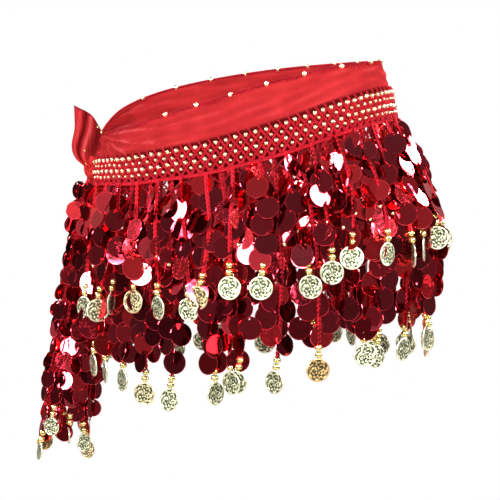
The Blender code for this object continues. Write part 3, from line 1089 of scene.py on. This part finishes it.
class Strands:
    """The joined cords, sequins, coins and beads of one tier."""

    def __init__(self, size, wild, light, disc_sides=24):
        self.wild, self.light = wild, light
        self.cords, self.discs, self.coins, self.beads = Shape(), Shape(), Shape(), Shape()
        self.disc_radius, self.coin_radius = DISC_RADIUS * size, COIN_RADIUS * size
        self.disc = disc_template(self.disc_radius, disc_sides)
        self.coin = coin_template(self.coin_radius)
        self.bead = bead_template(STRAND_BEAD_RADIUS)

    def hang(self, path, length, facing, first, disc_end, start_side, coin=True, before=0.0):
        """One strand. path gives its points at distances below its root, and before is the chance that
        the cord passes in front of its sequins."""
        coin_top = length - 2 * self.coin_radius
        at = np.arange(CORD_START, coin_top - CORD_ABOVE_COIN + 1.0, CORD_STEP)
        # The tier's light sets the painted shade of its cords, darker for cords that hang further in,
        # varied at random from cord to cord
        plait(self.cords, path(at), facing, width=1.5, depth=0.75, radius=0.9, pitch=13.5,
              sides=4 if coin else 3, tint=self.light * rng.uniform(*CORD_LIGHT))
        layer = -1.0 if rng.random() < before else 1.0
        places = np.arange(first, disc_end, DISC_PITCH)
        places = places + rng.normal(0, PITCH_SPREAD, len(places))
        holes = self.add_discs(path, places, facing, layer, start_side)
        if coin:
            self.tie(path, places, holes, facing, layer)
            self.add_coin(path, length, coin_top, facing)

    def add_discs(self, path, places, facing, layer, start_side):
        """Sequins to the left and right of the cord in turn. Returns the places of their holes."""
        count = len(places)
        hands = start_side * (-1.0) ** np.arange(count)
        yaw = rng.normal(*DISC_YAW, count)
        wild = rng.random(count) < self.wild
        yaw = hands * np.where(wild, rng.uniform(*WILD_DISC_YAW, count), yaw)
        run = unit(path(places + SLOPE_STEP) - path(places))
        slope = np.degrees(np.arctan2(run @ facing, -run[:, 2]))
        lean = slope + np.clip(rng.normal(*DISC_LEAN, count), *LEAN_RANGE)
        axes = turned(np.broadcast_to(facing, (count, 3)), yaw, lean, rng.normal(*DISC_ROLL, count))
        swung = self.disc_radius * np.sin(np.radians(np.abs(yaw))) ** 2
        proud = layer * (DISC_PROUD + YAW_PROUD * swung)
        aside = hands * (DISC_ASIDE - LAYER_ASIDE * layer)
        holes = path(places) + facing * proud[:, None] + np.cross(UP, facing) * aside[:, None]
        centres = holes - axes[:, 1] * (self.disc_radius - HOLE_MARGIN)
        tints = np.repeat(rng.random(count) ** TINT_POWER, len(self.disc[0]))
        own = np.broadcast_to(self.disc[0] / self.disc_radius, (count, *self.disc[0].shape))
        self.discs.add(*copies(*self.disc, centres, axes), tint=tints, own=own)
        return holes

    def add_coin(self, path, length, coin_top, facing):
        """A coin at the end of a strand, below a pair of beads."""
        yaw = rng.normal(*COIN_YAW, 1)
        if rng.random() < self.wild:
            yaw = np.array([rng.choice((-1, 1)) * rng.uniform(*WILD_COIN_YAW)])
        axes = turned(facing[None], yaw, rng.normal(*COIN_LEAN, 1), rng.normal(*COIN_ROLL, 1))
        tip = path(np.array([length - self.coin_radius])) + facing * COIN_OUT
        own = self.coin[0] / self.coin_radius
        self.coins.add(*copies(*self.coin, tip, axes), tint=rng.random(), own=own)
        pair = path(coin_top - np.array(PAIR_ABOVE)) + facing * np.array(PAIR_OUT)[:, None]
        axes = np.stack((UP, np.cross(UP, facing), facing))[None].repeat(2, axis=0)
        self.beads.add(*copies(*self.bead, pair, axes), tint=rng.uniform(*PAIR_TINTS))

    def tie(self, path, places, holes, facing, layer):
        """Loops of yarn that hold each sequin to its cord."""
        near = facing * layer
        above = path(places - TIE_ABOVE) + near * TIE_ABOVE_OUT
        below = path(places - TIE_BELOW) + near * TIE_BELOW_OUT
        crest = holes + facing * CREST_OUT + UP * CREST_UP
        inside = holes - facing * INSIDE_DEPTH - UP * INSIDE_DOWN
        rising = (above + crest) / 2 + facing * TIE_BOW
        lines = np.stack((above, rising, crest, inside, below), axis=1)
        self.cords.add(*tubes(lines, np.cross(UP, facing), TIE_RADIUS, sides=4), tint=0.8)

    def build(self, name, node_name):
        made = [
            self.cords.build(name + "_cords", yarn),
            self.discs.build(name + "_sequins", wine, smooth=False),
            self.coins.build(name + "_coins", coin_gold),
            self.beads.build(name + "_beads", gold),
        ]
        for piece in made:
            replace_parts(piece, node_name)
        return made


def segment_angle(index):
    return FIRST_ANGLE + (LAST_ANGLE - FIRST_ANGLE) * (index + 0.5) / SEGMENTS


def strand_root(angle):
    return float(band_height(angle)) + STRAND_ROOT


def swinging(angle, root, out, sway, wobble, phase):
    """The path of a strand that hangs on the form of the hips, a little aside and uneven."""
    def path(distance):
        free = np.clip(np.asarray(distance, float) / SWING_LENGTH, 0.0, 2.0)
        aside = sway * free + wobble * np.sin(free * SWING_RATE + phase) * np.minimum(1.0, 3 * free)
        return ring_point(angle, root + distance, out) + along(angle) * aside[..., None]
    return path


def upper_length(angle, index):
    return UPPER_LENGTH + LENGTH_SWING * math.sin(LENGTH_PHASE * index)


def lower_length(angle, index):
    swing = LENGTH_SWING * math.sin(LENGTH_PHASE * (index + 1))
    return float(between(LOWER_LENGTH, angle, LENGTH)) + swing - LOWER_SHORTER


def add_tier(name, node_name, first, out, length_at, first_discs, before, light):
    """Strands with coins on every other segment of the ring."""
    tier = Strands(size=1.0, wild=0.24, light=light)
    for number, index in enumerate(range(first, SEGMENTS - 1, 2)):
        angle = segment_angle(index)
        length = length_at(angle, index) + COIN_BELOW
        sway = rng.normal(*SWAY)
        wobble = np.clip(rng.normal(0, WOBBLE), -WOBBLE_MOST, WOBBLE_MOST)
        path = swinging(angle, strand_root(angle), out, sway, wobble, rng.uniform(0, PHASE_MOST))
        start = rng.choice(first_discs) + rng.uniform(0, FIRST_SPREAD)
        hand = 1 if number % 2 else -1
        tier.hang(path, length, outward(angle), start, length - DISC_MARGIN, hand, before=before)
    return tier.build(name, node_name)


def add_fill():
    """Strands without coins that fill the lower tier behind the upper one."""
    # The fill cords get little light: painted shade deep inside the fringe
    tier = Strands(size=1.0, wild=0.3, light=0.15, disc_sides=20)
    for number, index in enumerate(range(1, SEGMENTS - 1, 2)):
        angle = segment_angle(index)
        length = lower_length(angle, index) - FILL_SHORTER
        sway = rng.normal(0, FILL_SWAY)
        wobble = rng.normal(0, FILL_WOBBLE)
        path = swinging(angle, strand_root(angle), FILL_OUT, sway, wobble, rng.uniform(0, PHASE_MOST))
        start = rng.uniform(*FILL_FIRST)
        hand = 1 if number % 2 else -1
        tier.hang(path, length, outward(angle), start, length - FILL_MARGIN, hand, coin=False)
    cords = tier.cords.build("fill_cords", yarn)
    discs = tier.discs.build("fill_sequins", wine, smooth=False)
    return [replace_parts(piece, "fringe_lower") for piece in (cords, discs)]


def add_mesh():
    """Crocheted mesh behind the upper tier, with small beads along its lowest row."""
    mesh, beads = Shape(), Shape()
    angles = np.array([segment_angle(index) for index in range(2, SEGMENTS - 1, 2)])
    heights = band_height(angles)
    share = steps_of(MESH_STEPS)
    angle = blend(angles[:-1], angles[1:], share)
    foot = blend(heights[:-1], heights[1:], share)
    for row, level in enumerate(MESH_LEVELS):
        dip = MESH_DIP * np.sin(math.pi * share) * (1 if row % 2 else -1)
        lines = ring_point(angle, foot + level + dip, MESH_OUT)
        # The mesh's low tint is painted shade, as it hangs behind the upper tier
        twist(mesh, lines, outward(angle), offset=0.6, radius=0.75, turns=3.5, sides=4, tint=0.15)
    crests = (angles[:-1] + angles[1:]) / 2
    crest_heights = (heights[:-1] + heights[1:]) / 2 - MESH_DIP
    spots = np.concatenate((angles, crests))
    levels = np.concatenate((heights, crest_heights)) + MESH_LEVELS[-1]
    centres = ring_point(spots, levels, MESH_BEAD_OUT)
    beads.add(*copies(*bead_template(MESH_BEAD_RADIUS), centres, bead_axes(spots)))
    net_obj = mesh.build("mesh_net", yarn)
    bead_obj = beads.build("mesh_beads", gold)
    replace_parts(net_obj, "fringe_lower")
    return [net_obj, bead_obj]


# Knot, tie ends and tail


def knot_core():
    """Points of the lobed core of folded cloth, as distances from the knot's centre."""
    lift = np.linspace(-0.5, 0.5, KNOT_ROWS)[:, None] * math.pi
    turn = turns_of(KNOT_COLUMNS)
    level = np.cos(lift)
    ball = stack(level * np.cos(turn), level * np.sin(turn), np.sin(lift))
    slant = ball[..., 1] + ball[..., 2] + 0.2 * np.sin(3 * ball[..., 0])
    lobes = np.abs(np.sin(math.pi * (KNOT_LOBES * slant + 0.25))) ** 0.6
    reach = 1 - KNOT_GROOVE + KNOT_GROOVE * lobes + KNOT_CRINKLE * np.sin(9 * slant)
    return ball * reach[..., None] * np.array(KNOT_SIZE)


def knot_turn():
    """Points of the pleated turn of cloth over the core, as distances from the knot's centre."""
    turn = math.tau * np.arange(TURN_STEPS + 1)[:, None] / TURN_STEPS
    width = np.linspace(-1, 1, TURN_RIBS)[None, :]
    slope = math.radians(TURN_SLOPE)
    pleat = TURN_PLEAT_DEPTH * np.cos(math.tau * TURN_PLEATS * width) - TURN_CROWN * width ** 2
    out = (TURN_OUT + pleat) * np.cos(turn)
    long = (TURN_LONG + pleat) * np.sin(turn)
    across = TURN_HALF_WIDTH * width * (1 - TURN_NARROWING * np.cos(2 * turn))
    sideways = across * math.cos(slope) + long * math.sin(slope)
    return stack(out, sideways, long * math.cos(slope) - across * math.sin(slope))


def add_knot():
    core, turn = knot_core(), knot_turn()
    core_faces = [grid_faces(KNOT_ROWS, KNOT_COLUMNS, closed=True)]
    shape = Shape()
    shape.add(knot_place(*np.moveaxis(core, -1, 0)), core_faces, tint=0.0, own=core)
    turn_faces = [grid_faces(TURN_STEPS + 1, TURN_RIBS)]
    shape.add(knot_place(*np.moveaxis(turn, -1, 0)), turn_faces, tint=0.0, own=turn)
    obj = shape.build("knot_cloth", crepe)
    add_wall(obj)
    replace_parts(obj, "knot")
    return obj


def raised_fold(rise, share):
    """Depth of the raised end's folds, which wander to the left towards the knot."""
    wandering = share - FOLD_WANDER * (rise - FOLD_STRAIGHT_RISE) * np.sin(math.pi * share)
    fullness = np.clip(rise / FOLD_FULL_RISE, 0.0, 1.0)
    depth = RAISED_FOLD_ROOT + (1 - RAISED_FOLD_ROOT) * fullness
    return depth * between(RAISED_FOLDS, 100 * wandering, FOLD_DEPTH)


def raised_points(rise, share):
    """The raised end's surface, from the knot at rise 0 to the hem at the top."""
    edges = (between(RAISED_EDGES, rise, column) for column in range(1, FORWARD + 1))
    left_in, left_up, right_in, right_up, forward = edges
    part = rise / RAISED_TOP
    bow = RAISED_BOW * part ** 2 * np.sin(math.pi * share ** 1.4)
    crinkle = np.sin(math.tau * (CRINKLE_WAVES * share + CRINKLE_SLANT * rise))
    crinkle = CRINKLE_DEPTH * crinkle * (CRINKLE_ROOT + part)
    inward = left_in + (right_in - left_in) * share
    up = left_up + (right_up - left_up) * share + bow
    return knot_place(-inward, raised_fold(rise, share) + crinkle + forward, up)


def add_raised_end():
    """Short end of the tie, its hem cord and the small beads sewn on it."""
    shape = Shape()
    rise = np.linspace(0, RAISED_TOP, RAISED_ROWS)[:, None]
    share = steps_of(RAISED_COLUMNS)[None, :]
    own = stack(RAISED_WIDTH * share, RAISED_STEP * rise, 0.0)
    # Painted shade, deepest in the fold valleys, and a painted highlight on the fold crests
    tint = np.clip(RAISED_SHADE - FOLD_LIGHT * raised_fold(rise, share), -0.3, 0.9)
    quads = grid_faces(RAISED_ROWS, RAISED_COLUMNS)
    shape.add(raised_points(rise, share), [quads], tint=tint.ravel(), own=own)
    obj = shape.build("raised_end", crepe)
    add_wall(obj)
    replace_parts(obj, "tie_end_raised")
    hem = Shape()
    edge = raised_points(np.full(HEM_STEPS, RAISED_TOP), steps_of(HEM_STEPS))
    hem.add(*tubes(edge[None], along(KNOT_ANGLE), HEM_RADIUS, sides=6), tint=0.2)
    hem_obj = hem.build("raised_hem", yarn)
    beads = Shape()
    axes = bead_axes(np.array([KNOT_ANGLE]))
    for bead_rise, place, radius in RAISED_BEADS:
        centre = raised_points(np.array([bead_rise]), np.array([place / 100]))
        centre = centre + along(KNOT_ANGLE) * radius
        beads.add(*copies(*bead_template(radius), centre, axes), tint=1.0)
    bead_obj = beads.build("raised_beads", gold)
    return obj, [hem_obj, bead_obj]


def hang_place(below, out, sideways):
    """A point at a distance below the knot's centre, beside the hanging end's path."""
    return knot_place(between(HANG_PATH, below, SWING) + out, sideways, -np.asarray(below, float))


def add_hanging_end():
    """Long end of the tie, gathered into a tapering roll."""
    shape = Shape()
    share = steps_of(HANG_ROWS)[:, None]
    below = HANG_TOP + (HANG_BOTTOM - HANG_TOP) * share
    turn = turns_of(HANG_COLUMNS)
    neck = np.clip((below - HANG_TOP) / HANG_NECK, 0.0, 1.0)
    radius = HANG_RADIUS + (HANG_TIP_RADIUS - HANG_RADIUS) * share
    radius = radius * (NECK_SHARE + (1 - NECK_SHARE) * neck)
    gathers = sum(depth * np.cos(count * turn + twist * share) for count, depth, twist in HANG_GATHERS)
    reach = radius * (HANG_MEAN + gathers)
    points = hang_place(below, reach * np.cos(turn), reach * np.sin(turn))
    own = stack(HANG_WEAVE * turn, below, 0.0)
    quads = grid_faces(HANG_ROWS, HANG_COLUMNS, closed=True)[:, ::-1]
    shape.add(points, [quads], tint=0.0, own=own)
    obj = shape.build("hanging_end", crepe)
    add_wall(obj)
    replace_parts(obj, "tie_end_hanging")
    return obj


def tail_facing(turn):
    return outward(KNOT_ANGLE) * math.cos(turn) + along(KNOT_ANGLE) * math.sin(turn)


def tail_path(turn, sway, spread):
    """The path of a strand at a turn round the hanging end, out by a share of the tail's spread."""
    cos, sin = spread * math.cos(turn), spread * math.sin(turn)

    def path(distance):
        below = TAIL_TOP + np.asarray(distance, float)
        share = np.clip((below - TAIL_TOP) / TAIL_SPREAD_DROP, 0.0, 1.0)
        out = TAIL_REACH + share * TAIL_SPREAD_OUT
        sideways = TAIL_REACH + share * TAIL_SPREAD_ALONG
        return hang_place(below, out * cos, sideways * sin + sway * share)
    return path


def add_tail():
    """Strands round the hanging end, half of them with coins, and inner ones that fill its lower part."""
    # The tail's cords are painted darker, as painted shade
    tail = Strands(size=TAIL_DISC_SHARE, wild=0.5, light=0.4)
    for strand in range(TAIL_STRANDS):
        turn = math.tau * (strand + 0.25) / TAIL_STRANDS
        length = TAIL_LENGTH - TAIL_STAGGER * (3 * strand % 8)
        path = tail_path(turn, rng.normal(0, 1.0), 1.0)
        start = rng.uniform(*TAIL_FIRST)
        coin = strand % 2 == 0
        disc_end = length - (TAIL_COIN_MARGIN if coin else TAIL_MARGIN)
        hand = 1 if strand % 4 > 1 else -1
        tail.hang(path, length, tail_facing(turn), start, disc_end, hand, coin, before=0.2)
    for strand in range(TAIL_FILL):
        turn = math.tau * (strand + 0.5) / TAIL_FILL
        length = TAIL_LENGTH - TAIL_FILL_SHORTER - TAIL_FILL_STAGGER * (strand % 3)
        path = tail_path(turn, rng.normal(0, 1.0), 0.5)
        disc_end = length - TAIL_FILL_MARGIN
        hand = 1 if strand % 2 else -1
        tail.hang(path, length, tail_facing(turn), TAIL_FILL_START, disc_end, hand, coin=False)
    return tail.build("tail", "fringe_tail")


yoke = add_yoke()
edging = add_edging()
band = [add_band_net(), add_band_beads()]
# The light of each tier is painted shade on its cords: the lower tier behind is darker than the upper one
upper = add_tier("upper", "fringe_upper", first=1, out=UPPER_OUT, length_at=upper_length,
                 first_discs=UPPER_FIRST_DISCS, before=0.5, light=0.7)
lower = add_tier("lower", "fringe_lower", first=2, out=LOWER_OUT, length_at=lower_length,
                 first_discs=LOWER_FIRST_DISCS, before=0.4, light=0.45)
mesh = add_mesh()
fill = add_fill()
knot = add_knot()
raised, raised_trim = add_raised_end()
hanging = add_hanging_end()
tail = add_tail()

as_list(raised_trim)


# Stage, light and camera, in metres apart from the floor and the camera's target


AZIMUTH, ELEVATION = 35.0, 5.6
LOOK_ACROSS, LOOK_DOWN = 8.0, 129.0
CAMERA_DISTANCE = 3.0
LENS = 216.0
FLOOR_RADIUS = 2000.0
FLOOR_LEVEL = -950.0
FLOOR_SIDES = 96

# Level of the surroundings from straight down at 0 to straight up at 1, and its tone
SKY = ((0.0, 0.26), (0.46, 0.24), (0.505, 0.05), (1.0, 0.5))
SKY_TONE = (1.0, 0.97, 0.96)

# Soft lights on cloth and yarn: azimuth from the camera's, elevation, distance, size, radiance
LIT_CENTRE = (0.0, 0.0, -0.12)
SOFTBOXES = (
    ("key", -38, 16, 2.2, (0.8, 0.85), 11.0),
    ("side", 72, 14, 2.2, (0.7, 0.9), 8.5),
    ("fill", 22, 22, 2.2, (0.45, 0.5), 13.0),
    ("top", 4, 55, 2.4, (0.8, 0.45), 4.0),
    ("back_left", 150, 20, 2.2, (0.75, 0.85), 11.0),
    ("back_right", -145, 14, 2.2, (0.75, 0.85), 11.0),
)

# Lights that only show in shiny surfaces: small bright glints and large faint panels
GLINTS = 14
GLINT_ELEVATIONS = (8, 26, 15, 33)
GLINT = (2.2, (0.38, 0.38), 62.0)
PANELS = 4
PANEL = (14, 2.4, (0.9, 0.8), 0.8)


def direction(azimuth, elevation):
    """From the object towards a viewer at these angles."""
    turn, rise = math.radians(azimuth), math.radians(elevation)
    return np.array((math.sin(turn) * math.cos(rise), -math.cos(turn) * math.cos(rise), math.sin(rise)))


def place_viewer(obj, target, way, distance):
    """Put a camera or light at a distance from its target, looking at it."""
    obj.location = target + way * distance
    obj.rotation_euler = Vector(way).to_track_quat("Z", "Y").to_euler()


def add_stage():
    cos, sin = wheel(FLOOR_SIDES)
    points = stack(FLOOR_RADIUS * cos, FLOOR_RADIUS * sin, FLOOR_LEVEL)
    data = bpy.data.meshes.new("floor")
    data.from_pydata((points * MM).tolist(), [], [list(range(FLOOR_SIDES))])
    data.materials.append(floor_material())
    add_object("floor", data)


def add_softbox(name, azimuth, elevation, distance, size, radiance, mirrored):
    """A rectangular light that falls on cloth and yarn, or one that only shows in shiny surfaces."""
    data = bpy.data.lights.new(name, "AREA")
    data.shape = "RECTANGLE"
    data.size, data.size_y = size
    data.energy = radiance * math.pi * size[0] * size[1]
    obj = add_object(name, data)
    place_viewer(obj, np.array(LIT_CENTRE), direction(AZIMUTH + azimuth, elevation), distance)
    obj.visible_camera = False
    obj.visible_diffuse = not mirrored
    obj.visible_glossy = mirrored


def add_world():
    """White behind the object, and a soft sky that is dark at the horizon for all other rays."""
    world = bpy.data.worlds.new("studio")
    world.use_nodes = True
    bpy.context.scene.world = world
    tree = world.node_tree
    tree.nodes.clear()
    seen = node(tree, "ShaderNodeBackground", inputs={0: (1.0, 1.0, 1.0, 1.0), 1: 1.0})
    way = node(tree, "ShaderNodeTexCoord").outputs["Generated"]
    high = node(tree, "ShaderNodeSeparateXYZ", inputs={0: way}).outputs[2]
    share = math_node(tree, "MULTIPLY_ADD", high, 0.5, 0.5)
    stops = [(place, [level * part for part in SKY_TONE]) for place, level in SKY]
    light = node(tree, "ShaderNodeBackground", inputs={0: ramp(tree, share, *stops), 1: 1.0})
    camera_ray = node(tree, "ShaderNodeLightPath").outputs["Is Camera Ray"]
    given = {0: camera_ray, 1: light.outputs[0], 2: seen.outputs[0]}
    mixed = node(tree, "ShaderNodeMixShader", inputs=given)
    node(tree, "ShaderNodeOutputWorld", inputs={0: mixed.outputs[0]})


def add_camera():
    """A long lens at the photograph's viewing angle."""
    back = direction(AZIMUTH, ELEVATION)
    turn = math.radians(AZIMUTH)
    across = np.array((math.cos(turn), math.sin(turn), 0.0))
    target = (across * LOOK_ACROSS - np.cross(back, across) * LOOK_DOWN) * MM
    data = bpy.data.cameras.new("camera")
    data.lens = LENS
    obj = add_object("camera", data)
    place_viewer(obj, target, back, CAMERA_DISTANCE)
    bpy.context.scene.camera = obj


add_stage()
add_world()
for softbox in SOFTBOXES:
    add_softbox(*softbox, mirrored=False)
for number in range(GLINTS):
    elevation = GLINT_ELEVATIONS[number % len(GLINT_ELEVATIONS)]
    add_softbox(f"glint_{number}", 360 * number / GLINTS, elevation, *GLINT, mirrored=True)
for number in range(PANELS):
    add_softbox(f"panel_{number}", 60 + 360 * number / PANELS, *PANEL, mirrored=True)
add_camera()
bpy.context.scene.view_settings.view_transform = "Standard"
